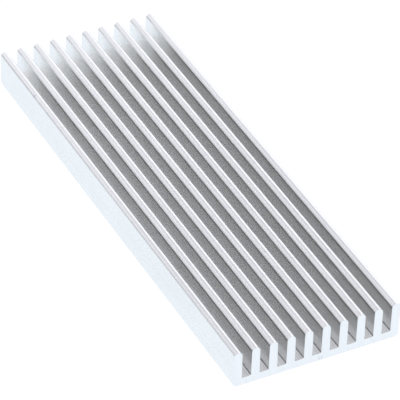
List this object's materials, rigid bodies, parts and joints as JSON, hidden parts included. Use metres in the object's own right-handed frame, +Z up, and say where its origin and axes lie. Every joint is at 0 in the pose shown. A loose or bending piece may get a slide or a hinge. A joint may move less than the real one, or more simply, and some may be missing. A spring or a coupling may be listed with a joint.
{
  "type": "extruded heat sink",
  "caption": "Flat bar heat sink in extruded aluminium, with straight round-tipped fins running its length on a thin flat base.",
  "frame": {"origin": "middle of the flat mounting face, under the base", "axes": "+X across the fins, +Y along the bar and its grooves, +Z up from the mounting face towards the fin tips"},
  "size_m": [0.04, 0.12, 0.0091],
  "materials": {
    "aluminium": "satin as-extruded aluminium with fine die lines along the bar and sawn ends"
  },
  "bodies": {
    "root": {"heat_sink": "aluminium"}
  },
  "joints": []
}
